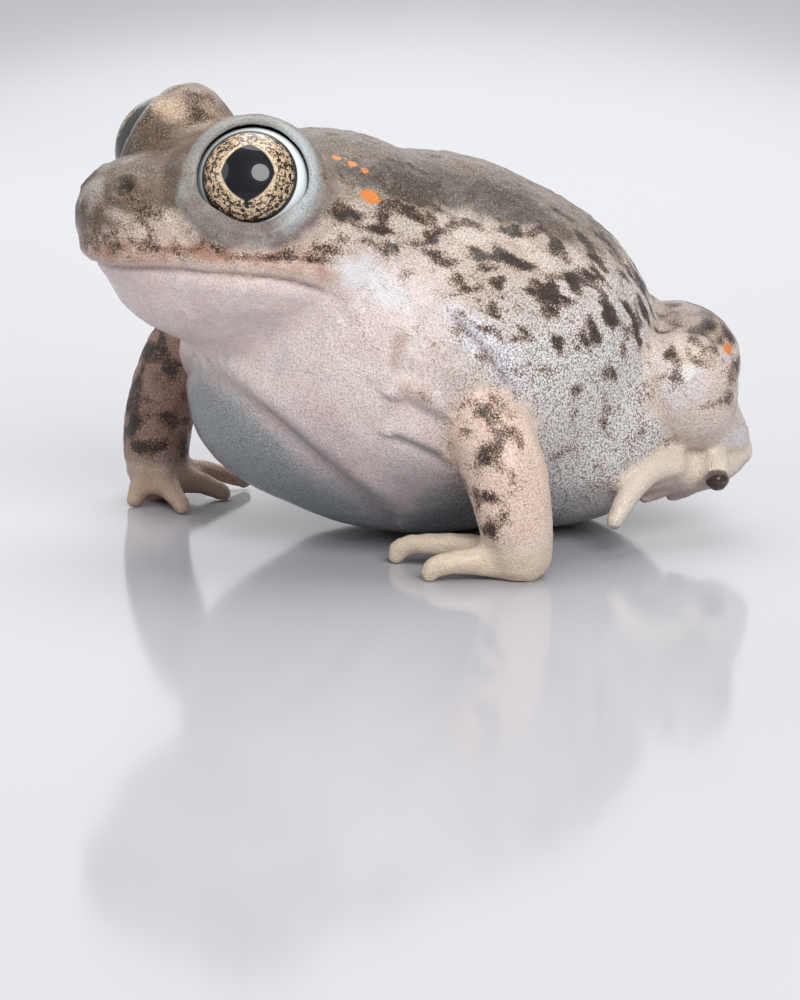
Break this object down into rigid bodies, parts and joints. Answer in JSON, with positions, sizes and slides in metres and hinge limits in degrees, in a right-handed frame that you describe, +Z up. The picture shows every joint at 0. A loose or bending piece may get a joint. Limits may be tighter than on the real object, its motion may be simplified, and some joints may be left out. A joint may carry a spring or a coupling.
{
  "type": "plains spadefoot toad",
  "caption": "Life-size still model of a plains spadefoot toad, puffed up and resting on its belly and hands, with large gold eyes and black digging spades on the hind feet.",
  "frame": {"origin": "on the floor under the middle of the toad's footprint", "axes": "the toad faces -Y, its left side is +X, +Z is up from the floor"},
  "size_m": [0.0328, 0.0404, 0.0271],
  "materials": {
    "torso": "satin, moist looking skin",
    "head": "satin, moist looking skin",
    "lower_jaw": "satin, moist looking skin",
    "arms": "satin, moist looking skin",
    "hands": "satin, moist looking skin",
    "hind_legs": "satin, moist looking skin",
    "feet": "satin, moist looking skin",
    "eyes": "wet gloss",
    "spades": "horn, semi gloss"
  },
  "bodies": {
    "root": {"eye_left": "eyes", "eye_right": "eyes", "foot_left": "feet", "foot_right": "feet", "forearm_left": "arms", "forearm_right": "arms", "hand_left": "hands", "hand_right": "hands", "head": "head", "lower_jaw": "lower_jaw", "shank_left": "hind_legs", "shank_right": "hind_legs", "spade_left": "spades", "spade_right": "spades", "thigh_left": "hind_legs", "thigh_right": "hind_legs", "torso": "torso", "upper_arm_left": "arms", "upper_arm_right": "arms"}
  },
  "joints": []
}
